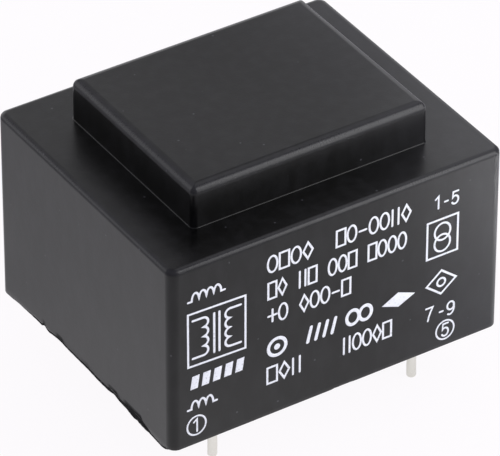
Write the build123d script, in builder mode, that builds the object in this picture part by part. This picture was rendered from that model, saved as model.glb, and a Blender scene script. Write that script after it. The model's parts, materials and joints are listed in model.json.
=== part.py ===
from build123d import *
import math
import os

os.makedirs("parts", exist_ok=True)

# Encapsulated transformer for printed circuit boards, in millimetres.
# The origin is the middle of the footprint on the seating plane, where the cup's rim meets the board.
# +Z points up, away from the board. +X runs along the long printed face, which looks along -Y.
# Pins reach below the seating plane.

# Core: stacked sheets of the 30 mm E and I pattern
centre_leg = 10.0
outer_leg = 5.0
window_width = 5.0
window_length = 15.0
yoke = 5.0
sheet_thickness = 0.5
sheet_count = 21

# Two-chamber bobbin
tube_clearance = 0.1
tube_wall = 0.9
tube_radius = 1.0
chamber_depth = 3.05
flange_clearance = 0.2
flange_thickness = 0.7
flange_radius = 1.2
middle_flange_thickness = 1.0
underside_depth = 2.35

# Pins, on the 5 mm raster of such transformers
pins_per_row = 5
pin_pitch = 5.0
row_distance = 20.0
fitted_pins = (1, 5, 7, 9)
pin_diameter = 0.8
pin_projection = 5.2
pin_tip_chamfer = 0.12
shank_width = 1.0
shank_thickness = 0.5
pin_floor = 0.5

# Rails that carry the pins, below the yokes
rail_lip = 2.2
rail_end = 3.0
rail_clearance = 0.2
rail_radius = 0.6

# Windings and their outer tape
tape_thickness = 0.2
flange_margin = 0.25

# Lead-out wires and the solder on the pins
wire_diameter = 0.2
wire_start_depth = 0.3
wire_pin_gap = 0.03
groove_width = 0.8
groove_headroom = 0.2
solder_lap = 0.3
solder_cover = 0.65

# Moulded cup
wall = 1.0
draft_angle = 0.1
core_clearance = 0.12
core_headroom = 0.2
edge_radius = 0.57
dome_side_gap = 0.65
dome_end_gap = 1.15
dome_headroom = 0.15
dome_edge_radius = 0.72
dome_foot_radius = 0.12
resin_recess = 0.4

# Sizes that follow
core_width = centre_leg + 2 * (window_width + outer_leg)
core_depth = window_length + 2 * yoke
stack_height = sheet_count * sheet_thickness
tube_width = centre_leg + 2 * (tube_clearance + tube_wall)
tube_height = stack_height + 2 * (tube_clearance + tube_wall)
flange_width = centre_leg + 2 * (window_width - flange_clearance)
flange_height = tube_height + 2 * chamber_depth
coil_length = window_length - 2 * flange_clearance
winding_depth = min(chamber_depth, (flange_width - tube_width) / 2) - tape_thickness - flange_margin
chamber_length = (coil_length - middle_flange_thickness) / 2 - flange_thickness

coil_z = underside_depth + flange_height / 2
core_bottom = coil_z - stack_height / 2
core_top = coil_z + stack_height / 2
rail_top = core_bottom - rail_clearance
rail_length = pin_pitch * (pins_per_row - 1) + 2 * rail_end
rail_depth = row_distance + 2 * rail_lip
winding_bottom = coil_z - tube_height / 2 - winding_depth
solder_bottom = resin_recess + solder_cover
lead_end = (solder_bottom + underside_depth) / 2

lean = math.tan(math.radians(draft_angle))
shoulder_underside = core_top + core_headroom
shoulder_height = shoulder_underside + wall
dome_underside = coil_z + flange_height / 2 + dome_headroom
total_height = dome_underside + wall
cavity_length = max(core_width, rail_length) + 2 * (core_clearance + core_top * lean)
cavity_width = max(core_depth, rail_depth) + 2 * (core_clearance + core_top * lean)
dome_cavity_length = flange_width + 2 * dome_side_gap
dome_cavity_width = coil_length + 2 * dome_end_gap


def pin_place(number):
    """Middle of a pin seen from above: the front row counts towards +X, the rear row comes back."""
    middle = (pins_per_row + 1) / 2
    if number <= pins_per_row:
        return (number - middle) * pin_pitch, -row_distance / 2
    return (pins_per_row + middle - number) * pin_pitch, row_distance / 2


def lead_ends(number):
    """Where a lead-out starts inside its winding, and where it ends beside the pin in the solder."""
    x, y = pin_place(number)
    side = math.copysign(1, y)
    start_x = math.copysign(min(abs(x), tube_width / 2 - tube_radius), x)
    start_y = side * (coil_length / 2 - flange_thickness - wire_start_depth)
    beside_pin = y - side * (shank_thickness / 2 + wire_pin_gap + wire_diameter / 2)
    return Vector(start_x, start_y, winding_bottom + wire_diameter), Vector(x, beside_pin, lead_end)


def cavity(bottom, top, length, width):
    """Drafted hollow from one height to another, added to the part being built."""
    with BuildSketch(Plane.XY.offset(bottom)) as section:
        Rectangle(length, width)
    extrude(section.sketch, amount=top - bottom, taper=draft_angle)


def plane_across_coil(y):
    """Plane square to the coil's axis, its middle on the axis."""
    return Plane((0, y, coil_z), x_dir=(1, 0, 0), z_dir=(0, 1, 0))


def wound_ring(side, base, depth):
    """Ring wound on the tube in one chamber, from base above the tube outwards by depth."""
    start = middle_flange_thickness / 2 if side > 0 else flange_thickness - coil_length / 2
    with BuildSketch(plane_across_coil(start)) as section:
        outer = base + depth
        RectangleRounded(tube_width + 2 * outer, tube_height + 2 * outer, tube_radius + outer)
        RectangleRounded(tube_width + 2 * base, tube_height + 2 * base, tube_radius + base, mode=Mode.SUBTRACT)
    extrude(section.sketch, amount=chamber_length)


def lead_out(number):
    """Straight wire from its winding, through the groove in the bobbin, to its pin."""
    start, end = lead_ends(number)
    with BuildSketch(Plane(start, z_dir=end - start)) as section:
        Circle(wire_diameter / 2)
    extrude(section.sketch, amount=(end - start).length)


# Hollow of the cup: the wide part round the core and the narrow part round the coil
with BuildPart() as hollow:
    cavity(0, shoulder_underside, cavity_length, cavity_width)
    cavity(shoulder_underside, dome_underside, dome_cavity_length, dome_cavity_width)

# Cup: each block of the outer form is drafted, then its upright and top edges are rounded together
with BuildPart() as housing:
    with BuildSketch():
        Rectangle(cavity_length + 2 * wall, cavity_width + 2 * wall)
    extrude(amount=shoulder_height, taper=draft_angle)
    fillet(edges().group_by(Axis.Z)[1] + edges().group_by(Axis.Z)[-1], edge_radius)
    with BuildSketch(Plane.XY.offset(shoulder_height)):
        Rectangle(dome_cavity_length + 2 * wall, dome_cavity_width + 2 * wall)
    extrude(amount=total_height - shoulder_height, taper=draft_angle)
    fillet(edges().group_by(Axis.Z)[-2] + edges().group_by(Axis.Z)[-1], dome_edge_radius)
    shoulder = faces().filter_by(Plane.XY).group_by(Axis.Z)[-2][0]
    fillet(shoulder.inner_wires()[0].edges(), dome_foot_radius)
    add(hollow.part, mode=Mode.SUBTRACT)
housing.part.label = "housing"
export_step(housing.part, "parts/housing.step")

# Core: every second sheet is turned round, so that the joints of one layer lie under the next sheet's yoke
for layer in range(sheet_count):
    facing = 1 - 2 * (layer % 2)
    sheet_plane = Plane((0, 0, core_bottom + layer * sheet_thickness), x_dir=(facing, 0, 0))
    with BuildPart() as e_lamination:
        with BuildSketch(sheet_plane):
            with Locations((0, yoke / 2)):
                Rectangle(core_width, core_depth - yoke)
            with GridLocations(centre_leg + window_width, 1, 2, 1):
                Rectangle(window_width, window_length, mode=Mode.SUBTRACT)
        extrude(amount=sheet_thickness)
    e_lamination.part.label = f"e_lamination_{layer + 1:02d}"
    export_step(e_lamination.part, f"parts/{e_lamination.part.label}.step")

    with BuildPart() as i_lamination:
        with BuildSketch(sheet_plane):
            with Locations((0, (yoke - core_depth) / 2)):
                Rectangle(core_width, yoke)
        extrude(amount=sheet_thickness)
    i_lamination.part.label = f"i_lamination_{layer + 1:02d}"
    export_step(i_lamination.part, f"parts/{i_lamination.part.label}.step")

# The space that the whole stack takes up: a frame with a bar across its middle
with BuildPart() as core_space:
    with BuildSketch(Plane.XY.offset(core_bottom)):
        Rectangle(core_width, core_depth)
        with GridLocations(centre_leg + window_width, 1, 2, 1):
            Rectangle(window_width, window_length, mode=Mode.SUBTRACT)
    extrude(amount=stack_height)

# Pins: round tails, pressed flat where the rail grips them and where the lead-outs end
pins = {}
for number in fitted_pins:
    x, y = pin_place(number)
    with BuildPart() as pin:
        with BuildSketch(Plane((x, y, -pin_projection))):
            Circle(pin_diameter / 2)
        extrude(amount=pin_projection + resin_recess)
        chamfer(faces().sort_by(Axis.Z)[0].edges(), pin_tip_chamfer)
        with BuildSketch(Plane((x, y, resin_recess))):
            Rectangle(shank_width, shank_thickness)
        extrude(amount=rail_top - pin_floor - resin_recess)
    pin.part.label = f"pin_{number}"
    export_step(pin.part, f"parts/pin_{number}.step")
    pins[number] = pin.part

# Bobbin: tube, three flanges and two pin rails in one moulding, with a groove for each lead-out
with BuildPart() as bobbin:
    with BuildSketch(plane_across_coil(-coil_length / 2)):
        RectangleRounded(tube_width, tube_height, tube_radius)
    extrude(amount=coil_length)
    for start, thickness in (
        (-coil_length / 2, flange_thickness),
        (-middle_flange_thickness / 2, middle_flange_thickness),
        (coil_length / 2 - flange_thickness, flange_thickness),
    ):
        with BuildSketch(plane_across_coil(start)):
            RectangleRounded(flange_width, flange_height, flange_radius)
        extrude(amount=thickness)
    with BuildSketch(Plane.XY.offset(underside_depth)):
        RectangleRounded(rail_length, rail_depth, rail_radius)
        Rectangle(rail_length, coil_length, mode=Mode.SUBTRACT)
    extrude(amount=rail_top - underside_depth)
    with BuildSketch(plane_across_coil(-coil_length / 2)):
        Rectangle(centre_leg + 2 * tube_clearance, stack_height + 2 * tube_clearance)
    extrude(amount=coil_length, mode=Mode.SUBTRACT)
    with BuildSketch(Plane.XY.offset(underside_depth)):
        with Locations(*[pin_place(number) for number in range(1, 2 * pins_per_row + 1)]):
            Rectangle(shank_width, shank_thickness)
    extrude(amount=rail_top - pin_floor - underside_depth, mode=Mode.SUBTRACT)
    for number in fitted_pins:
        start, end = lead_ends(number)
        run = Vector(end.X - start.X, end.Y - start.Y)
        with BuildSketch(Plane(((start.X + end.X) / 2, (start.Y + end.Y) / 2, underside_depth))):
            Rectangle(run.length + groove_width, groove_width, math.degrees(math.atan2(run.Y, run.X)))
        extrude(amount=start.Z + wire_diameter / 2 + groove_headroom - underside_depth, mode=Mode.SUBTRACT)
bobbin.part.label = "bobbin"
export_step(bobbin.part, "parts/bobbin.step")

# Windings: the front chamber feeds the front pins, the rear chamber the rear pins
windings = []
tapes = []
for side, name in ((-1, "primary"), (1, "secondary")):
    with BuildPart() as winding:
        wound_ring(side, 0, winding_depth)
        for number in fitted_pins:
            if pin_place(number)[1] * side > 0:
                lead_out(number)
    winding.part.label = f"{name}_winding"
    export_step(winding.part, f"parts/{name}_winding.step")
    windings.append(winding.part)

    with BuildPart() as tape:
        wound_ring(side, winding_depth, tape_thickness)
    tape.part.label = f"{name}_tape"
    export_step(tape.part, f"parts/{name}_tape.step")
    tapes.append(tape.part)

# Solder: a bead round each pin, from the rail down to its foot, with the end of the lead-out in it
solders = []
for number in fitted_pins:
    x, y = pin_place(number)
    with BuildPart() as solder:
        with BuildSketch(Plane((x, y, solder_bottom))):
            Circle(shank_width / 2 + solder_lap)
        extrude(amount=underside_depth - solder_bottom)
        add(pins[number], mode=Mode.SUBTRACT)
        for winding in windings:
            add(winding, mode=Mode.SUBTRACT)
    solder.part.label = f"solder_{number}"
    export_step(solder.part, f"parts/solder_{number}.step")
    solders.append(solder.part)

# Potting resin: whatever the pieces leave free in the cup, up to just short of the rim
with BuildPart() as potting_resin:
    add(hollow.part)
    split(bisect_by=Plane.XY.offset(resin_recess), keep=Keep.TOP)
    for piece in (core_space.part, bobbin.part, *windings, *tapes, *pins.values(), *solders):
        add(piece, mode=Mode.SUBTRACT)
potting_resin.part.label = "potting_resin"
export_step(potting_resin.part, "parts/potting_resin.step")
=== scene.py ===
import json

import bpy
import numpy as np
from mathutils import Matrix, Vector


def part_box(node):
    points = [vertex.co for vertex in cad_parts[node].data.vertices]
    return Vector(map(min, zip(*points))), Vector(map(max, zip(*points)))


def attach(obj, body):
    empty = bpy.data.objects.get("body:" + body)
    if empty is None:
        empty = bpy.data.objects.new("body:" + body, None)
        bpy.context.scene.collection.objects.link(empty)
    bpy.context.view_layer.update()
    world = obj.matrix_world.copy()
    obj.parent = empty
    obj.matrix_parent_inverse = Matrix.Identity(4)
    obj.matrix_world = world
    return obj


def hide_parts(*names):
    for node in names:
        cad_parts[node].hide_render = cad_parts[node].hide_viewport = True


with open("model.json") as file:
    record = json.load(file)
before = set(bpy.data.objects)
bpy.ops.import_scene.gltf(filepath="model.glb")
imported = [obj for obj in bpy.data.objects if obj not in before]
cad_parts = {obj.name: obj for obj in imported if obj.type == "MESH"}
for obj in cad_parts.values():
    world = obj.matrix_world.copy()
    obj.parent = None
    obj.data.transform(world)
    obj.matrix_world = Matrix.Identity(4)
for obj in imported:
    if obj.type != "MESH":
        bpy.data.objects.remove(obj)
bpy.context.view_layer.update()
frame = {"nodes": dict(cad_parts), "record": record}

# Encapsulated transformer for printed circuit boards. Sizes are in millimetres until a mesh is made.
# +Z points up from the board, +X runs along the long printed face, and that face looks along -Y.

MM = 0.001


def corners(node):
    """Lowest and highest corner of a node of the frame, in millimetres."""
    low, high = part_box(node)
    return np.array(low) / MM, np.array(high) / MM


# Cup: its half sizes and height come from the frame, and the core below it gives the shoulder's height.
# The photo's cup is a little longer at both ends than the solid.
half_length, half_width, total_height = corners("housing")[1]
end_allowance = 0.1
half_length += end_allowance
wall = 1.0
core_headroom = 0.2
shoulder_height = corners("e_lamination_21")[1][2] + core_headroom + wall
dome_half_length = 11.45
dome_half_width = 9.45
lean = np.tan(np.radians(0.1))
corner_radius = 0.85
top_radius = 0.51
dome_corner_radius = 0.5
dome_top_radius = 0.8
foot_radius = 0.09
smallest_corner = 0.06
inner_radius = 0.15
rim_break = 0.05
wall_sink = 0.03
top_sink = 0.05

# Cast resin seen from below: a skin on its face, and a collar round each pin
resin_level = corners("potting_resin")[0][2]
resin_climb = 0.26
climb_reach = 0.3
skin_gap = 0.005
skin_thickness = 0.15
skin_drop = 0.03
collar_reach = 0.14
collar_drop = 0.02
collar_width = 0.75
collar_bite = 0.05

# Resin that has run out below the walls: a rough seam, and beads on it
seam_reach = 0.22
seam_inset = 0.25
seam_cover = 0.08
seam_end = 0.3
seam_low = 0.27
bead_inset = 0.02

# Pins: a flat shank, a round tail, a rounded tip and head, and tin on the lower part of the tail
pin_numbers = (1, 5, 7, 9)
pin_radius = 0.4
shank_half_width = 0.5
shank_half_thickness = 0.25
shank_above_resin = 0.6
tail_above_resin = 0.1
tip_length, tip_inset = 0.14, 0.13
head_length, head_inset = 0.08, 0.05
tin_thickness = 0.018
tin_edge = -3.6
tin_fade = 0.12

# Ink
ink_height = 0.012
ink_depth = 0.02
fine_line = 0.2
text_line = 0.205
bold_line = 0.33
letter_height = 1.6
letter_share = 0.8


# ---- Surfaces ----


def piece(name, patches, finish, ridge=None):
    """Adds one mesh piece made of patches of points (rows, columns, 3) in millimetres.

    Each patch is a pair: its points, and whether its last row joins its first. Columns always close round.
    Neighbouring points are joined by four-sided faces, and an open first or last row is closed with a face.
    Row direction crossed with column direction points outwards. A ridge, one value for each point, is kept
    on the mesh for the finish to read.
    """
    vertices, faces, count = [], [], 0
    for points, ring in patches:
        rows, columns = points.shape[:2]
        index = count + np.arange(rows * columns).reshape(rows, columns)
        run = np.vstack([index, index[:1]]) if ring else index
        beside = np.roll(run, -1, axis=1)
        quads = np.stack([run[:-1], run[1:], beside[1:], beside[:-1]], axis=-1)
        faces += quads.reshape(-1, 4).tolist()
        if not ring:
            faces += [index[0].tolist(), index[-1][::-1].tolist()]
        vertices.append(points.reshape(-1, 3))
        count += rows * columns
    mesh = bpy.data.meshes.new(name)
    mesh.from_pydata(np.concatenate(vertices) * MM, [], faces)
    mesh.shade_smooth()
    if ridge is not None:
        mesh.attributes.new("ridge", "FLOAT", "POINT").data.foreach_set("value", ridge.ravel())
    mesh.materials.append(finish)
    made = bpy.data.objects.new(name, mesh)
    bpy.context.scene.collection.objects.link(made)
    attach(made, "root")
    return made


def outline(length, width, radius, side_steps, corner_steps=12):
    """Rounded rectangle with those half sizes, counter-clockwise from the start of its (+, +) corner.

    Each corner is a quarter circle. The points of each side crowd towards its ends, as the cosine of an
    evenly growing angle does.
    """
    quarter = np.linspace(0, np.pi / 2, corner_steps + 1) + np.arange(4)[:, None] * np.pi / 2
    signs = np.array([(1, 1), (-1, 1), (-1, -1), (1, -1)])
    centres = signs * (length - radius, width - radius)
    arcs = centres[:, None] + radius * np.stack([np.cos(quarter), np.sin(quarter)], axis=-1)
    share = (1 - np.cos(np.linspace(0, np.pi, side_steps + 2)[1:-1])) / 2
    starts, ends = arcs[:, -1:], np.roll(arcs[:, :1], -1, axis=0)
    sides = starts + (ends - starts) * share[:, None]
    return np.concatenate([arcs, sides], axis=1).reshape(-1, 2)


def level_surface(levels, side_steps):
    """Points of a surface given by levels (half length, half width, corner radius, height), one row each."""
    return np.array([
        np.column_stack([shape, np.full(len(shape), height)])
        for length, width, radius, height in levels
        for shape in [outline(length, width, radius, side_steps)]
    ])


def edge_levels(length, width, corner, edge, height, steps=8):
    """Levels round a rounded top edge, from the flat down to the wall.

    At angle a the outline is drawn in by edge * (1 - sin a), its corners are that much tighter but never
    quite sharp, and it lies edge * (1 - cos a) below the top.
    """
    angle = np.linspace(0, np.pi / 2, steps + 1)
    inset = edge * (1 - np.sin(angle))
    tight = np.maximum(corner - inset, smallest_corner)
    return np.column_stack([length - inset, width - inset, tight, height - edge * (1 - np.cos(angle))])


def between(first, last, shares):
    """Levels in between two levels, at those shares of the way."""
    return np.asarray(first) + (np.asarray(last) - first) * np.array(shares)[:, None]


def swell(place, middle, reach):
    """Smooth hump of height 1 at middle, falling off as a bell curve over reach."""
    return np.exp(-(((place - middle) / reach) ** 2))


def wall_hollow(across, up):
    """Inward sink of a moulded wall, which falls to nothing at its edges as a parabola does both ways."""
    return wall_sink * np.clip(1 - across**2, 0, 1) * np.clip(1 - up**2, 0, 1)


def face_points(x, z, lift):
    """Points on the printed face at those places, lifted off it: it leans back and has the wall's sink."""
    middle = shoulder_height / 2
    depth = half_width - lean * z - wall_hollow(x / half_length, z / middle - 1)
    return np.stack([x, -depth - lift, z], axis=-1)


# ---- Cup ----


def cup_points():
    """Closed surface of the cup, in rows from the middle of the dome down to the rim and up again inside.

    Each row is a rounded rectangle at one height. The dome's foot is a hollow quarter circle, the outer
    edges of the blocks are quarter circles, and the rim's lower edge is broken and uneven on the left.
    Returns the points, and a ridge that rises from 0 to 1 and back, as a sine, across each rounded edge.
    """
    side_steps = 180
    flat_shares = (0.12, 0.25, 0.4, 0.55, 0.7, 0.82, 0.92, 0.97, 0.995)
    wall_shares = (0.002, 0.02, 0.08, 0.18, 0.3, 0.42, 0.54, 0.66, 0.78, 0.88, 0.95, 0.975)
    dome = edge_levels(
        dome_half_length - lean * (total_height - shoulder_height),
        dome_half_width - lean * (total_height - shoulder_height),
        dome_corner_radius, dome_top_radius, total_height,
    )
    block = edge_levels(
        half_length - lean * shoulder_height, half_width - lean * shoulder_height,
        corner_radius, top_radius, shoulder_height,
    )
    turn = np.linspace(0, np.pi / 2, 5)
    reach = foot_radius * (1 - np.cos(turn))
    foot = np.column_stack([
        dome_half_length + reach, dome_half_width + reach, dome_corner_radius + reach,
        shoulder_height + foot_radius * (1 - np.sin(turn)),
    ])
    inner_length, inner_width = half_length - wall, half_width - wall
    top_middle = dome[0] * (0.01, 0.01, 0.01, 1)
    underside = shoulder_height - wall
    dome_underside = total_height - wall
    dome_inner_length, dome_inner_width = dome_half_length - wall, dome_half_width - wall
    outside = [
        top_middle,
        *between(top_middle, dome[0], flat_shares),
        *dome,
        *between(dome[-1], foot[0], (0.01, 0.1, 0.35, 0.65, 0.9, 0.99)),
        *foot,
        *between(foot[-1], block[0], (0.01, 0.08, 0.3, 0.6, 0.9, 0.99)),
        *block,
    ]
    rim = (half_length, half_width, corner_radius, 0)
    wall_rows = between(block[-1], rim, wall_shares)
    rim_rows = between(rim, (inner_length, inner_width, inner_radius, 0), (0, 0, 0, 0.5, 0.99, 1))
    inside = [
        *between(
            (inner_length, inner_width, inner_radius, 0),
            (inner_length - lean * underside, inner_width - lean * underside, inner_radius, underside),
            (0.01, 0.5, 1),
        ),
        (dome_inner_length, dome_inner_width, inner_radius, underside),
        (dome_inner_length, dome_inner_width, inner_radius, dome_underside),
        (0.1, 0.1, 0.01, dome_underside),
    ]
    points = level_surface([*outside, *wall_rows, *rim_rows, *inside], side_steps)
    x, y, z = points[..., 0], points[..., 1], points[..., 2]

    first_wall = len(outside)
    first_rim = first_wall + len(wall_rows)
    walls = slice(first_wall - 1, first_rim)
    up = z[walls] / (shoulder_height / 2) - 1
    sink_x = wall_hollow(y[walls] / half_width, up) * np.sign(x[walls])
    sink_y = wall_hollow(x[walls] / half_length, up) * np.sign(y[walls])
    x[walls] -= sink_x
    y[walls] -= sink_y
    flat_rows = 1 + len(flat_shares)
    flat = slice(0, flat_rows)
    flat_length, flat_width = dome[0][:2]
    bow_x = np.clip(1 - (x[flat] / flat_length) ** 2, 0, 1)
    bow_y = np.clip(1 - (y[flat] / flat_width) ** 2, 0, 1)
    z[flat] -= top_sink * bow_x * bow_y

    # The broken edge at the rim: where it starts on the wall, its middle, and where it reaches the rim.
    # Outwards is one of eight directions there, as the place along the wall rounds.
    edge_x, edge_y = x[first_rim].copy(), y[first_rim].copy()
    rise = rim_rise(edge_x, edge_y)
    outward_x, outward_y = np.round(edge_x / half_length), np.round(edge_y / half_width)
    size = np.maximum(np.hypot(outward_x, outward_y), 1)
    for row, inward, upward in ((0, 0.0, 1.0), (1, 0.3, 0.3), (2, 1.0, 0.0)):
        x[first_rim + row] = edge_x - outward_x / size * rim_break * inward
        y[first_rim + row] = edge_y - outward_y / size * rim_break * inward
        z[first_rim + row] = rise + rim_break * upward

    ridge = np.zeros(points.shape[:2])
    for first, rows in ((flat_rows, len(dome)), (first_wall - len(block), len(block))):
        ridge[first:first + rows] = np.sin(np.linspace(0, np.pi, rows))[:, None]
    return points, ridge


def left_foot(y):
    """Height of the lowest edge along the left wall: an arch with a nick, a few humps and slow ripples.

    The arch is a parabola, the humps and the nick are bell curves, the front end turns up as a parabola, and
    the ripples are the product of two sines.
    """
    arch = 0.04 - 0.0026 * (y - 1.5) ** 2
    humps = (
        0.1 * swell(y, 4.0, 1.1) - 0.09 * swell(y, -2.4, 1.3)
        + 0.15 * swell(y, -4.6, 0.5) - 0.1 * swell(y, -7.7, 0.7)
    )
    nick = 0.17 * swell(y, 6.6, 0.26) - 0.06 * swell(y, 7.1, 0.2) - 0.08 * swell(y, 5.8, 0.4)
    front_end = 0.22 * np.clip((-11.8 - y) / 0.9, 0, 1) ** 2
    return arch + humps + nick + front_end + 0.012 * np.sin(2.3 * y) * np.sin(5.1 * y + 1)


def left_seam(y):
    """Height of the line of resin that shows below the left wall: thicker forwards, and most near y = -8.

    It grows forwards as an S-curve, has one bell-shaped lump, and steps down as an S-curve near the front.
    """
    growth = 0.2 / (1 + np.exp((y + 1) / 2))
    lump = 0.24 * swell(y, -8.2, 1.5)
    step_down = 0.2 / (1 + np.exp((y + 10.2) / 0.2))
    return seam_low + growth + lump - step_down


def front_nick(x):
    """Shallow nick with a sharp end in the lower edge of the printed face, as two bell curves."""
    return 0.09 * swell(x, 0.75, 0.6) + 0.14 * swell(x, -0.25, 0.12)


def rim_rise(x, y):
    """How far the wall's own lower edge stands up, along the outline at the rim.

    On the left it stands above the resin's seam, which tapers off rearwards, and comes down to the rim at
    the front corner. Round the rear left corner it fades out over 2 mm, and in front it has the nick.
    """
    corner_share, corner_fade = 0.97, 0.02
    left = np.clip((-x / half_length - corner_share) / corner_fade, 0, 1)
    front = np.clip((-y / half_width - corner_share) / corner_fade, 0, 1)
    behind = np.clip(1 - np.hypot(x + half_length, y - half_width) / 2, 0, 1) * left_foot(half_width)
    front_fade = np.clip((half_width - 0.5 - np.abs(y)) / 0.5, 0, 1)
    seam = left_seam(y) * np.clip((12.0 - y) / 4, 0, 1)
    on_left = np.where(y > 0, left_foot(y) + seam, (left_foot(y) + seam) * front_fade)
    return np.where(left > 0, left * on_left, behind) + front * front_nick(x)


def resin_seam(along, foot, height, side):
    """Rough line of resin below a wall, from its uneven foot up behind the wall's edge.

    Its section is a boxy superellipse carried along the wall: cosine and sine to the power 0.5, with their
    signs kept. Both ends taper as the square root of the distance from them. Side gives the wall: "left" or
    "front".
    """
    to_end = np.minimum(np.abs(along - along[0]), np.abs(along - along[-1]))
    ends = np.sqrt(np.clip(to_end / seam_end, 0.03, 1))
    turn = np.linspace(0, 2 * np.pi, 24, endpoint=False)
    cosine, sine = np.cos(turn), np.sin(turn)
    reach = seam_reach * ends[:, None] * np.sign(cosine) * np.sqrt(np.abs(cosine))
    half = (height + seam_cover) / 2
    upward = (foot + half)[:, None] + (ends * half)[:, None] * np.sign(sine) * np.sqrt(np.abs(sine))
    wall_place = half_length if side == "left" else half_width
    outward = -wall_place + seam_inset - reach
    place = np.broadcast_to(along[:, None], outward.shape)
    return np.stack([outward, place, upward] if side == "left" else [place, outward, upward], axis=-1)


def resin_bead(start, end, thick, height):
    """Slender glossy bead on that line: circles whose radius follows half an ellipse, with slow waves."""
    share = np.linspace(0, 1, 41)
    y = start + (end - start) * share
    radius = thick * np.sqrt(np.clip(1 - (2 * share - 1) ** 2, 0.01, 1)) * (1 + 0.12 * np.sin(19 * share))
    turn = np.linspace(0, 2 * np.pi, 20, endpoint=False)
    middle = left_foot(y) + height
    return np.stack([
        -half_length + bead_inset - radius[:, None] * np.cos(turn),
        np.broadcast_to(y[:, None], (len(y), len(turn))),
        middle[:, None] + radius[:, None] * np.sin(turn),
    ], axis=-1)


# ---- Resin and pins ----


def resin_skin():
    """Underside of the cast resin: a slab whose lower face climbs the wall and has slow waves.

    Below the level it hangs by a small drop, climb * exp(-distance from the wall / reach) and slow sines.
    """
    length, width = half_length - wall - skin_gap, half_width - wall - skin_gap
    inset = np.array([0, 0.04, 0.1, 0.18, 0.28, 0.4, 0.6, 0.9, 1.4, 2.2, 3.3, 4.6, 6.1, 7.7, 9.3, 10.9, 12.4])
    above = resin_level + skin_thickness
    lower = [(length - d, width - d, max(inner_radius - d, 0.02), resin_level) for d in inset]
    upper = [(length - d, width - d, max(inner_radius - d, 0.02), above) for d in inset[::-4]]
    points = level_surface([*upper, *lower], side_steps=110)
    x, y, z = np.moveaxis(points, -1, 0)
    waves = 0.012 * np.sin(0.9 * x + 0.4 * y) + 0.009 * np.sin(0.5 * x - 1.3 * y + 2) + 0.006 * np.sin(2.1 * x + y)
    below = slice(len(upper), None)
    z[below] -= skin_drop + resin_climb * np.exp(-inset / climb_reach)[:, None] + waves[below]
    return points


def resin_collar(x, y):
    """Ring of resin that creeps along a pin: a closed section turned about the pin.

    Its lower side hangs by climb * exp(-distance from the pin / reach), below the level of the resin. Its
    distance from the pin varies with the angle, as a sine with two waves.
    """
    distance = np.array([collar_width, 0.6, 0.45, 0.34, 0.25, 0.18, 0.12, 0.07, 0.03, 0])
    lower = resin_level - collar_drop - resin_climb * np.exp(-distance / collar_reach)
    inner, outer, above = pin_radius - collar_bite, pin_radius + collar_width, resin_level + tail_above_resin
    radius = np.concatenate([pin_radius + distance, [inner, inner, outer]])
    height = np.concatenate([lower, [lower[-1], above, above]])
    turn = np.linspace(0, 2 * np.pi, 48, endpoint=False)
    uneven = 1 + 0.12 * np.sin(2 * turn + x) * (radius > pin_radius + 0.1)[:, None]
    reach = pin_radius + (radius - pin_radius)[:, None] * uneven
    return np.stack([
        x + reach * np.cos(turn), y + reach * np.sin(turn), np.broadcast_to(height[:, None], reach.shape)
    ], axis=-1)


def pin_surface(number):
    """Tinned pin: a section that passes from a flattened shank to a round tail, in rows from top to tip.

    The section is a superellipse: half size times cosine and sine, each to the power 2/n with its sign kept.
    n goes from 7 on the shank to 2 on the tail, and the half sizes go from the shank's to the tail's radius.
    The dipped tin makes the tail a little thicker below its edge, which fades as an S-curve, with slow
    ripples. The tip is a quarter circle and the head's edge a parabola.
    """
    low, high = corners(f"pin_{number}")
    x, y = (low[:2] + high[:2]) / 2
    shank_end, tail_start = resin_level + shank_above_resin, resin_level + tail_above_resin
    tip = low[2] + tip_length * (1 - np.sin(np.linspace(0, np.pi / 2, 7)))
    z = np.concatenate([
        high[2] - np.array([0, 0.02, head_length]), np.linspace(high[2] - 0.5, shank_end, 6),
        np.linspace(shank_end, tail_start, 9)[1:], np.linspace(tail_start, tip[0], 36)[1:], tip[1:],
    ])
    flat = np.clip((z - tail_start) / (shank_end - tail_start), 0, 1)
    flat = flat * flat * (3 - 2 * flat)
    power = 2 / (2 + 5 * flat)
    turn = np.linspace(0, 2 * np.pi, 48, endpoint=False)
    rounding = tip_inset * (1 - np.cos(np.arcsin(np.clip((tip[0] - z) / tip_length, 0, 1))))
    rounding += head_inset * np.clip(1 - (high[2] - z) / head_length, 0, 1) ** 2
    dip = tin_thickness / (1 + np.exp((z - tin_edge) / tin_fade))
    ripple = 0.006 * np.sin(3.1 * z[:, None] + 2 * np.sin(turn + number)) * (1 - flat[:, None])
    radius = pin_radius - rounding + dip
    along = radius * (1 - flat) + (shank_half_width - rounding) * flat
    across = radius * (1 - flat) + (shank_half_thickness - rounding) * flat
    cosine, sine = np.cos(turn), np.sin(turn)
    shape_x = np.sign(cosine) * np.abs(cosine) ** power[:, None]
    shape_y = np.sign(sine) * np.abs(sine) ** power[:, None]
    return np.stack([
        x + (along[:, None] + ripple) * shape_x,
        y + (across[:, None] + ripple) * shape_y,
        np.broadcast_to(z[:, None], shape_x.shape),
    ], axis=-1)


# ---- Print ----


def line(*places):
    """Straight runs between places (x, z)."""
    return np.array(places, float)


def arc(x, z, radius_x, radius_z, start=0, end=360, steps=32):
    """Points on an ellipse about (x, z), from one angle to another in degrees."""
    angle = np.radians(np.linspace(start, end, steps + 1))
    return np.column_stack([x + radius_x * np.cos(angle), z + radius_z * np.sin(angle)])


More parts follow.
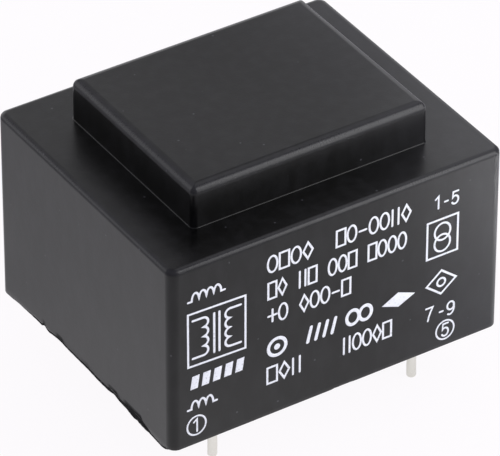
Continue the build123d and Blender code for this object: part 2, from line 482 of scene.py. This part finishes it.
def stroke(path, width):
    """Low ridge of ink along a path on the printed face.

    The section goes over the front and back below the surface. It lies square to the path, is longer by
    1/cos(half the turn) at a corner, and shrinks at both ends as a half circle does. A path that ends where
    it starts is a ring.
    """
    ring = np.allclose(path[0], path[-1])
    if ring:
        path = path[:-1]
        before, after = path - np.roll(path, 1, axis=0), np.roll(path, -1, axis=0) - path
    else:
        steps = np.diff(path, axis=0)
        before, after = np.vstack([steps[:1], steps]), np.vstack([steps, steps[-1:]])
    before = before / np.linalg.norm(before, axis=1)[:, None]
    after = after / np.linalg.norm(after, axis=1)[:, None]
    along = before + after
    along /= np.linalg.norm(along, axis=1)[:, None]
    half = width / 2 / np.clip((along * after).sum(axis=1), 0.5, 1)
    if not ring:
        angle = np.linspace(0.12, np.pi / 2, 6)[:-1]
        head = path[0] - along[0] * (width / 2 * np.cos(angle))[:, None]
        tail = path[-1] + along[-1] * (width / 2 * np.cos(angle[::-1]))[:, None]
        path = np.vstack([head, path, tail])
        half = np.concatenate([width / 2 * np.sin(angle), half, width / 2 * np.sin(angle[::-1])])
        along = np.vstack([np.repeat(along[:1], 5, axis=0), along, np.repeat(along[-1:], 5, axis=0)])
    side = np.column_stack([-along[:, 1], along[:, 0]])
    across = np.array([-1, -0.8, -0.3, 0.3, 0.8, 1, 0.6, -0.6])
    lift = np.array([0, 0.8, 1, 1, 0.8, 0, -1, -1])
    lift = np.where(lift < 0, -ink_depth, lift * ink_height)
    place = path[:, None] + side[:, None] * (half[:, None] * across)[..., None]
    return face_points(place[..., 0], place[..., 1], lift[None, :]), ring


def field(path):
    """Filled shape of ink: rings from its middle out to a closed path, then back below the surface."""
    path = path[:-1]
    middle = path.mean(axis=0)
    share = np.array([0.02, 0.5, 0.94, 1, 0.98])[:, None]
    lift = np.array([ink_height, ink_height, ink_height, 0, -ink_depth])[:, None]
    place = middle + (path - middle) * share[..., None]
    return face_points(place[..., 0], place[..., 1], lift), False


def digit(number, x, z, height):
    """Strokes of a dash or a numeral that stands at (x, z), with its width 0.6 times its height."""
    shapes = {
        "-": [line((0.13, 0.42), (0.37, 0.42))],
        "1": [line((0.08, 0.8), (0.32, 1), (0.32, 0))],
        "5": [np.vstack([line((0.53, 1), (0.13, 1), (0.08, 0.52)), arc(0.28, 0.33, 0.27, 0.33, 118, -146)])],
        "7": [line((0.04, 1), (0.56, 1), (0.4, 0.66), (0.27, 0.32), (0.2, 0))],
        "9": [arc(0.29, 0.68, 0.26, 0.31), arc(0.24, 0.5, 0.31, 0.5, 22, -118)],
    }
    return [np.array([x, z]) + height * shape for shape in shapes[number]]


def coil(x, z, width, humps, lead, upright=0):
    """Winding sign: a row of half circles with a straight lead at both ends.

    It lies along X with its humps up, or stands with its humps towards +X or -X, as the sign of upright says.
    """
    step = width / humps
    rise = step / 2 if upright else 0.75
    runs = [arc(step * (i + 0.5), 0, step / 2, rise, 180, 0, 14)[i > 0:] for i in range(humps)]
    if not upright:
        return np.array([x, z]) + np.vstack([line((-lead, 0)), *runs, line((width + lead, 0))])
    path = np.vstack([line((0, -lead)), *runs, line((width, -lead))])
    return np.array([x, z]) + path[:, ::-1] * (upright, 1)


def sign(kind, x, z, width, height):
    """Plain outline shape that stands at (x, z): ring, box, rhombus, dash, cross or bars."""
    centre_x, centre_z = x + width / 2, z + height / 2
    right, top = x + width, z + height
    if kind == "ring":
        return [arc(centre_x, centre_z, width / 2, height / 2)]
    if kind == "box":
        return [line((x, z), (right, z), (right, top), (x, top), (x, z))]
    if kind == "rhombus":
        return [line((centre_x, z), (right, centre_z), (centre_x, top), (x, centre_z), (centre_x, z))]
    if kind == "dash":
        return [line((x + 0.1, centre_z - 0.1), (right - 0.1, centre_z - 0.1))]
    if kind == "cross":
        return [line((x, centre_z), (right, centre_z)), line((centre_x, z + 0.2), (centre_x, top - 0.2))]
    return [line((x + width * share, z), (x + width * share, top)) for share in (0.15, 0.85)]


def sign_row(x, z, end, kinds):
    """Row of plain shapes from x to end, as wide and as far apart as small print; a gap leaves a space."""
    pitch = (end - x) / (len(kinds) - 1 + letter_share)
    return [
        path for place, kind in enumerate(kinds) if kind != "gap"
        for path in sign(kind, x + place * pitch, z, pitch * letter_share, letter_height)
    ]


def terminal_numbers():
    """Numbers of the terminals: two ranges on the right, and a ringed number above each end pin.

    The ranges are printed a little out of true: each falls by 0.07 of the way along X.
    """
    text, fall = [], 0.07
    for characters, offsets, x, z, height in (
        ("1-5", (0, 0.86, 1.69), 9.4, 14.5, 1.22),
        ("7-9", (0, 1.27, 2.17), 8.75, 3.23, 1.31),
    ):
        for character, offset in zip(characters, offsets):
            text += digit(character, x + offset, z - fall * offset, height)
    text += digit("1", -14.17, 1.28, 1.25) + digit("5", 10.42, 1.02, 1.25)
    rings = [arc(-13.82, 1.9, 0.9, 0.95), arc(10.78, 1.65, 0.9, 0.95)]
    return [stroke(path, text_line * 0.9) for path in text] + [stroke(path, fine_line * 0.85) for path in rings]


def winding_signs():
    """Framed picture of two windings with the core between them, and a winding sign for each row of pins.

    The picture is printed a little out of true: it falls by 0.035 of the way along X.
    """
    left, right, low, high = -14.58, -9.07, 7.98, 13.28
    middle, fall = (left + right) / 2, 0.035
    frame_line = sign("box", left, low, right - left, high - low)
    windings = [coil(middle + side * 1.3, low + 0.75, 3.8, 4, 1.0, upright=-side) for side in (-1, 1)]
    core = [line((middle + side * 0.25, low + 0.7), (middle + side * 0.25, high - 0.7)) for side in (-1, 1)]
    for path in frame_line + windings + core:
        path[:, 1] -= fall * (path[:, 0] - middle)
    rows = [coil(-14.2, 14.6, 2.8, 4, 0.35), coil(-14.3, 3.7, 2.1, 3, 0.35)]
    slanted_bar = line((0, 0), (0.72, 0), (0.92, 1.3), (0.2, 1.3), (0, 0))
    blocks = [field(slanted_bar + (x, 5.7)) for x in -14.4 + 1.08 * np.arange(5)]
    return (
        [stroke(path, fine_line) for path in frame_line]
        + [stroke(path, text_line * 1.1) for path in windings + core]
        + [stroke(path, text_line) for path in rows]
        + blocks
    )


def plain_signs():
    """Rows of plain shapes in the middle of the printed face, a row of marks, and two signs on its right."""
    rows = (
        (-6.93, 14.5, -2.59, ("ring", "box", "ring", "rhombus")),
        (-0.26, 14.5, 7.01, ("box", "ring", "dash", "ring", "ring", "bars", "rhombus")),
        (-6.87, 11.85, 6.62, (
            "box", "rhombus", "gap", "bars", "box", "gap", "ring", "ring", "box", "gap",
            "box", "ring", "ring", "ring",
        )),
        (-6.86, 9.3, 1.16, ("cross", "ring", "gap", "rhombus", "ring", "ring", "dash", "box")),
        (-6.94, 3.25, -3.62, ("box", "rhombus", "bars")),
        (0.48, 3.25, 5.3, ("bars", "ring", "ring", "rhombus", "box")),
    )
    shapes = [path for row in rows for path in sign_row(*row)]
    fine = [
        arc(10.27, 12.0, 0.78, 0.85), arc(10.27, 10.85, 0.78, 0.85),
        *sign("box", 8.75, 9.6, 3.05, 3.7),
        *sign("rhombus", 8.8, 5.6, 2.95, 2.4),
        arc(10.27, 6.8, 0.4, 0.4),
    ]
    bold = [
        arc(-5.99, 6.73, 0.85, 0.85),
        *[line((x, 5.95), (x + 0.35, 7.35)) for x in (-3.0, -2.2, -1.4, -0.6)],
        arc(1.45, 6.7, 0.6, 0.72), arc(2.7, 6.7, 0.6, 0.72),
    ]
    filled = [line((4.3, 6.6), (6.0, 5.95), (7.65, 6.75), (5.95, 7.45), (4.3, 6.6)), arc(-5.99, 6.73, 0.3, 0.3)]
    return (
        [stroke(path, text_line) for path in shapes]
        + [stroke(path, fine_line) for path in fine]
        + [stroke(path, bold_line) for path in bold]
        + [field(path) for path in filled]
    )


# ---- Finishes ----


class Wire:
    """Output of a node that can be used in arithmetic: each operator adds one Math node."""

    def __init__(self, recipe, socket):
        self.recipe, self.socket = recipe, socket

    def math(self, operation, *values):
        return self.recipe.add("Math", {"operation": operation}, dict(enumerate(values)))

    def part(self, name):
        """Another output of the same node."""
        return Wire(self.recipe, self.socket.node.outputs[name])

    def __add__(self, other):
        return self.math("ADD", self, other)

    def __sub__(self, other):
        return self.math("SUBTRACT", self, other)

    def __rsub__(self, other):
        return self.math("SUBTRACT", other, self)

    def __mul__(self, other):
        return self.math("MULTIPLY", self, other)

    __radd__ = __add__
    __rmul__ = __mul__

    def above(self, edge, softness):
        """0 below edge, 1 above edge + softness, and a straight rise between."""
        return self.recipe.add("MapRange", {"clamp": True}, {0: self, 1: edge, 2: edge + softness})


class Recipe:
    """Node tree of one finish, light or sky."""

    def __init__(self, owner):
        owner.use_nodes = True
        self.tree = owner.node_tree
        self.tree.nodes.clear()

    def add(self, kind, settings=None, sockets=None, output=0):
        """New node: its settings first, then a value or a wire for each socket. Returns one output."""
        node = self.tree.nodes.new("ShaderNode" + kind)
        for name, value in (settings or {}).items():
            setattr(node, name, value)
        for name, value in (sockets or {}).items():
            if isinstance(value, Wire):
                self.tree.links.new(value.socket, node.inputs[name])
            elif isinstance(value, tuple) and node.inputs[name].type == "RGBA":
                node.inputs[name].default_value = (*value, 1)
            else:
                node.inputs[name].default_value = value
        return Wire(self, node.outputs[output]) if node.outputs else node

    def place(self):
        """Place of a point in the object's own frame, in metres."""
        return self.add("TexCoord", output="Object")

    def grain(self, per_mm, detail=2.0, place=None):
        """Noise with that many cells per millimetre, from 0 to 1 and mostly near a half."""
        sockets = {"Vector": place or self.place(), "Scale": per_mm / MM, "Detail": detail}
        return self.add("TexNoise", {}, sockets)

    def tint(self, share, first, second):
        """Colour that passes from the first to the second."""
        return self.add("Mix", {"data_type": "RGBA"}, {0: share, 6: first, 7: second}, output=2)

    def relief(self, height, depth):
        """Normal of a surface with that height on it, depth in millimetres."""
        return self.add("Bump", {}, {"Height": height, "Distance": depth * MM})

    def shaded(self, sockets):
        """Ends the recipe with the main shader."""
        shader = self.add("BsdfPrincipled", {}, sockets)
        self.add("OutputMaterial", {}, {"Surface": shader})


def new_recipe(name):
    material = bpy.data.materials.new(name)
    return material, Recipe(material)


def black_plastic():
    """Satin black moulding: slow drift of tone and gloss, fine grain, pale dust specks, smoother edges.

    A grey film of dust lies in faint upright clouds; painted sheen greys the rounded edges and grows towards +X.
    """
    material, r = new_recipe("housing_plastic")
    drift = r.grain(0.11, 3.0)
    fine = r.grain(7.0, 2.0)
    ridge = r.add("Attribute", {"attribute_name": "ridge"}, output="Fac")
    cells = r.add("TexVoronoi", {}, {"Vector": r.place(), "Scale": 0.8 / MM})
    size = r.grain(0.8, 0.0)
    specks = (1 - cells.above(0.05, 0.04)) * size.above(0.56, 0.02)
    body = r.tint(drift, (0.0003, 0.0003, 0.0003), (0.0007, 0.0006, 0.0007))
    # Painted sheen: a share that grows from x = -1 mm to 17 mm, squared, pales the colour towards +X
    along = r.add("SeparateXYZ", {}, {0: r.place()}).part("X").above(-0.001, 0.018)
    streaked = r.add("Mapping", {}, {"Vector": r.place(), "Scale": (1.0, 1.0, 0.45)})
    clouds = r.grain(0.9, 5.0, streaked).above(0.42, 0.25)
    # Grey mixed in: painted sheen from the +X share and the rounded edges, and real dust in the clouds
    dust_and_painted_sheen = r.tint(along * along + 0.75 * ridge + 0.17 * clouds, body, (0.024, 0.024, 0.026))
    r.shaded({
        "Base Color": r.tint(specks, dust_and_painted_sheen, (0.05, 0.05, 0.055)),
        "Roughness": 0.25 + 0.08 * drift + 0.06 * fine - 0.04 * ridge,
        "IOR": 1.4,
        "Normal": r.relief(fine + 0.8 * r.grain(1.3, 1.0), 0.004),
    })
    return material


def cast_resin():
    """Black casting resin: glossy, with slow unevenness and small pits."""
    material, r = new_recipe("resin")
    slow = r.grain(0.25, 3.0)
    pits = r.grain(2.5, 1.0).above(0.66, 0.05)
    r.shaded({
        "Base Color": r.tint(slow, (0.010, 0.010, 0.011), (0.018, 0.017, 0.017)),
        "Roughness": 0.2 + 0.22 * slow + 0.15 * pits,
        "IOR": 1.55,
        "Normal": r.relief(slow - 0.4 * pits, 0.03),
    })
    return material


def resin_with_painted_shade():
    """Black resin set rough in the open: a coarse broken surface, made near black and dull as painted shade."""
    material, r = new_recipe("resin_with_painted_shade")
    coarse = r.grain(6.0, 4.0)
    r.shaded({
        # Painted shade: the near-black colour and low specular level keep the line dark under any light
        "Base Color": r.tint(coarse, (0.003, 0.003, 0.003), (0.009, 0.009, 0.009)),
        "Roughness": 0.75 + 0.2 * coarse,
        "Specular IOR Level": 0.2,
        "Normal": r.relief(coarse, 0.05),
    })
    return material


def natural_nylon():
    """Pale moulded nylon with glass fibre: cloudy, with short streaks along the coil."""
    material, r = new_recipe("bobbin_plastic")
    stretched = r.add("Mapping", {}, {"Vector": r.place(), "Scale": (1.0, 0.15, 1.0)})
    cloud = r.grain(0.3, 3.0)
    fibre = r.grain(6.0, 2.0, stretched)
    r.shaded({
        "Base Color": r.tint(cloud * 0.6 + fibre * 0.4, (0.66, 0.63, 0.55), (0.78, 0.76, 0.71)),
        "Roughness": 0.42 + 0.2 * fibre,
        "Normal": r.relief(fibre, 0.01),
    })
    return material


def sheet_steel():
    """Coated silicon steel: blue-grey coating with rolling lines, mottled and worn bright in places."""
    material, r = new_recipe("core_steel")
    stretched = r.add("Mapping", {}, {"Vector": r.place(), "Scale": (0.04, 1.0, 1.0)})
    rolled = r.grain(9.0, 2.0, stretched)
    worn = r.grain(0.8, 3.0).above(0.55, 0.15)
    r.shaded({
        "Base Color": r.tint(worn, (0.26, 0.28, 0.32), (0.46, 0.46, 0.47)),
        "Metallic": 1.0,
        "Roughness": 0.5 - 0.15 * worn + 0.1 * rolled,
        "Normal": r.relief(rolled, 0.006),
    })
    return material


def copper_wire():
    """Enamelled copper: turns side by side along the coil, as round ridges, with painted shade darkening the
    grooves between.
    """
    material, r = new_recipe("winding_copper")
    along = r.add("SeparateXYZ", {}, {0: r.place()}).part("Y")
    turns = 0.5 + 0.5 * along.math("SINE", along * (2 * np.pi / (0.2 * MM)))
    cloud = r.grain(0.5, 2.0)
    r.shaded({
        # Painted shade: the colour darkens into the grooves between turns
        "Base Color": r.tint(turns * (0.7 + 0.3 * cloud), (0.26, 0.08, 0.03), (0.72, 0.32, 0.14)),
        "Metallic": 1.0,
        "Roughness": 0.38 - 0.12 * turns,
        "Normal": r.relief(turns, 0.05),
    })
    return material


def yellow_film():
    """Polyester tape: clear yellow gloss with soft creases, duller and paler where it is creased."""
    material, r = new_recipe("tape")
    creases = r.grain(0.7, 4.0)
    r.shaded({
        "Base Color": r.tint(creases, (0.74, 0.47, 0.03), (0.84, 0.62, 0.10)),
        "Roughness": 0.16 + 0.2 * creases,
        "Normal": r.relief(creases, 0.04),
    })
    return material


def tinned_copper():
    """Hot-tinned wire: bright satin metal with soft blotches and fine lines along the pin."""
    material, r = new_recipe("pin_tin")
    stretched = r.add("Mapping", {}, {"Vector": r.place(), "Scale": (1.0, 1.0, 0.08)})
    lines = r.grain(12.0, 2.0, stretched)
    blotch = r.grain(1.2, 2.0)
    r.shaded({
        "Base Color": r.tint(blotch, (0.68, 0.67, 0.62), (0.76, 0.75, 0.70)),
        "Metallic": 1.0,
        "Roughness": 0.26 + 0.16 * blotch + 0.08 * lines,
        "Normal": r.relief(lines + blotch, 0.006),
    })
    return material


def soft_solder():
    """Solder: grey metal, smooth, with dull frosted islands."""
    material, r = new_recipe("solder")
    frost = r.grain(2.0, 3.0).above(0.5, 0.1)
    r.shaded({
        "Base Color": r.tint(frost, (0.68, 0.68, 0.67), (0.5, 0.5, 0.5)),
        "Metallic": 1.0,
        "Roughness": 0.22 + 0.25 * frost,
        "Normal": r.relief(frost, 0.01),
    })
    return material


def white_ink():
    """Pad-printed ink: matt white, slightly blue, thinner in small spots."""
    material, r = new_recipe("print_white")
    thin = r.grain(5.0, 2.0).above(0.58, 0.16)
    r.shaded({
        "Base Color": r.tint(thin, (0.80, 0.82, 0.85), (0.52, 0.53, 0.56)),
        "Roughness": 0.5 + 0.15 * thin,
        "Normal": r.relief(thin, -0.004),
    })
    return material


finishes = {
    "housing_plastic": black_plastic(),
    "resin": cast_resin(),
    "bobbin_plastic": natural_nylon(),
    "core_steel": sheet_steel(),
    "winding_copper": copper_wire(),
    "tape": yellow_film(),
    "pin_tin": tinned_copper(),
    "solder": soft_solder(),
    "print_white": white_ink(),
}


# ---- Pieces ----

for subpart in frame["record"]["subparts"]:
    node = frame["nodes"][subpart["node"]]
    node.data.materials.clear()
    node.data.materials.append(finishes[subpart["material_slot"]])

cup_surface, cup_ridge = cup_points()
cup = piece("cup", [(cup_surface, False)], finishes["housing_plastic"], cup_ridge)
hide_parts("housing")

for number in pin_numbers:
    pin = piece(f"tinned_pin_{number}", [(pin_surface(number), False)], finishes["pin_tin"])
    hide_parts(f"pin_{number}")

collars = []
for number in pin_numbers:
    pin_low, pin_high = corners(f"pin_{number}")
    collars.append((resin_collar(*((pin_low + pin_high) / 2)[:2]), True))
piece("resin_collars", collars, finishes["resin"])
piece("resin_skin", [(resin_skin(), False)], finishes["resin"])
piece("resin_bead", [
    (resin_bead(start=-6.7, end=-8.3, thick=0.04, height=0.14), False),
    (resin_bead(start=-8.4, end=-10.1, thick=0.07, height=0.13), False),
], finishes["resin"])
seam_y = np.linspace(half_width - 0.5, 0.7 - half_width, 300)
seam_x = np.linspace(-0.5, 2.3, 60)
# The seam's finish is partly painted shade: it stays nearly black under any light, as the gap at the lower edge
# does
piece("resin_seam", [
    (resin_seam(seam_y, left_foot(seam_y), left_seam(seam_y), "left"), False),
    (resin_seam(seam_x, np.full_like(seam_x, 0.01), front_nick(seam_x), "front"), False),
], resin_with_painted_shade())

piece("terminal_numbers", terminal_numbers(), finishes["print_white"])
piece("winding_signs", winding_signs(), finishes["print_white"])
piece("plain_signs", plain_signs(), finishes["print_white"])


# ---- Studio ----

floor_height = corners("pin_1")[0][2] * MM
floor_corners = [(x, y, floor_height) for x, y in ((-3, -3), (3, -3), (3, 3), (-3, 3))]
floor_mesh = bpy.data.meshes.new("floor")
floor_mesh.from_pydata(floor_corners, [], [(0, 1, 2, 3)])
floor = bpy.data.objects.new("floor", floor_mesh)
bpy.context.scene.collection.objects.link(floor)

paper, r = new_recipe("paper")
matt = r.add("BsdfDiffuse", {}, {"Color": (0.86, 0.86, 0.86)})
seen = r.add("LightPath", output="Is Camera Ray")
mirror = seen.part("Is Glossy Ray")


def falling_off(recipe, x, y, reach):
    """1 at a place on the floor, falling off as 1 / (1 + (distance / reach) squared); sizes in millimetres."""
    ends = {0: recipe.place(), 1: (x * MM, y * MM, 0)}
    distance = recipe.add("VectorMath", {"operation": "DISTANCE"}, ends, output="Value")
    away = distance * (1 / (reach * MM))
    return away.math("DIVIDE", 1, 1 + away * away)


# What the plastic mirrors of the paper is painted light: a wide painted pool of light round the object, a
# brighter painted spot in front of its near corner and a painted shade at its left. The camera sees the paper
# almost plain white, and bounced light finds it matt.
painted_floor_light = r.tint(falling_off(r, -6, -4, 60), (0.0, 0.0, 0.0), (1.49, 1.46, 1.49))
painted_floor_light = r.tint(falling_off(r, -9, -23, 8), painted_floor_light, (2.0, 1.96, 1.98))
painted_floor_light = r.tint(0.34 * falling_off(r, -21, 20, 5), painted_floor_light, (0.0, 0.0, 0.0))
white = r.add("Emission", {}, {"Color": r.tint(mirror, (1.0, 0.98, 1.0), painted_floor_light), "Strength": 1.0})
pure = 0.95 * seen + 0.55 * mirror
r.add("OutputMaterial", {}, {"Surface": r.add("MixShader", {}, {0: pure, 1: matt, 2: white})})
floor_mesh.materials.append(paper)

world = bpy.data.worlds.new("studio")
bpy.context.scene.world = world
r = Recipe(world)
# The sky's strength is 1 for the camera, mirrored for reflections and ambient for bounced light
ambient, mirrored = 0.68, 0.25
seen = r.add("LightPath", output="Is Camera Ray")
tone = r.tint(seen, (0.97, 0.95, 1.1), (1.0, 0.99, 1.0))
strength = seen * (1 - ambient) + seen.part("Is Glossy Ray") * (mirrored - ambient) + ambient
sky = r.add("Background", {}, {"Color": tone, "Strength": strength})
r.add("OutputWorld", {}, {"Surface": sky})


def soft_light(name, place, target, width, height, brightness, spread=180):
    """Area light in millimetres; its power is pi times its area times its brightness."""
    lamp = bpy.data.lights.new(name, "AREA")
    lamp.shape = "RECTANGLE"
    lamp.size, lamp.size_y = width * MM, height * MM
    lamp.spread = np.radians(spread)
    lamp.energy = np.pi * lamp.size * lamp.size_y * brightness
    light = bpy.data.objects.new(name, lamp)
    light.location = Vector(place) * MM
    light.rotation_euler = (Vector(target) - Vector(place)).to_track_quat("-Z", "Y").to_euler()
    light.visible_camera = False
    bpy.context.scene.collection.objects.link(light)


soft_light("key", (66, -90, 62), (0, 0, 8), 70, 110, 3.5)
soft_light("overhead", (66, 12, 130), (0, 0, 20), 90, 90, 0.72)
soft_light("backdrop", (-30, 420, 160), (-30, 0, 160), 1000, 340, 1.22)
soft_light("rear_high", (15, 300, 320), (0, 0, 15), 290, 130, 0.27)
soft_light("right_rear", (44, 26, 53), (14, -12, 18), 16, 16, 1.1)
soft_light("table_right", (42, -33, 50), (42, -33, -5), 16, 16, 17, spread=40)

# The camera's place in millimetres, and the directions that are right and up in its picture
camera_place = Vector((-190.0, -294.49, 262.15))
rightward, upward = Vector((0.8407, -0.5414, 0.0016)), Vector((0.3168, 0.4942, 0.8096))
backward = rightward.cross(upward)
camera_data = bpy.data.cameras.new("camera")
camera_data.sensor_width = 36
camera_data.lens = 371.5
camera = bpy.data.objects.new("camera", camera_data)
turned = Matrix((rightward, upward, backward)).transposed().to_4x4()
camera.matrix_world = Matrix.Translation(camera_place * MM) @ turned
bpy.context.scene.collection.objects.link(camera)
bpy.context.scene.camera = camera
bpy.context.scene.view_settings.view_transform = "Standard"
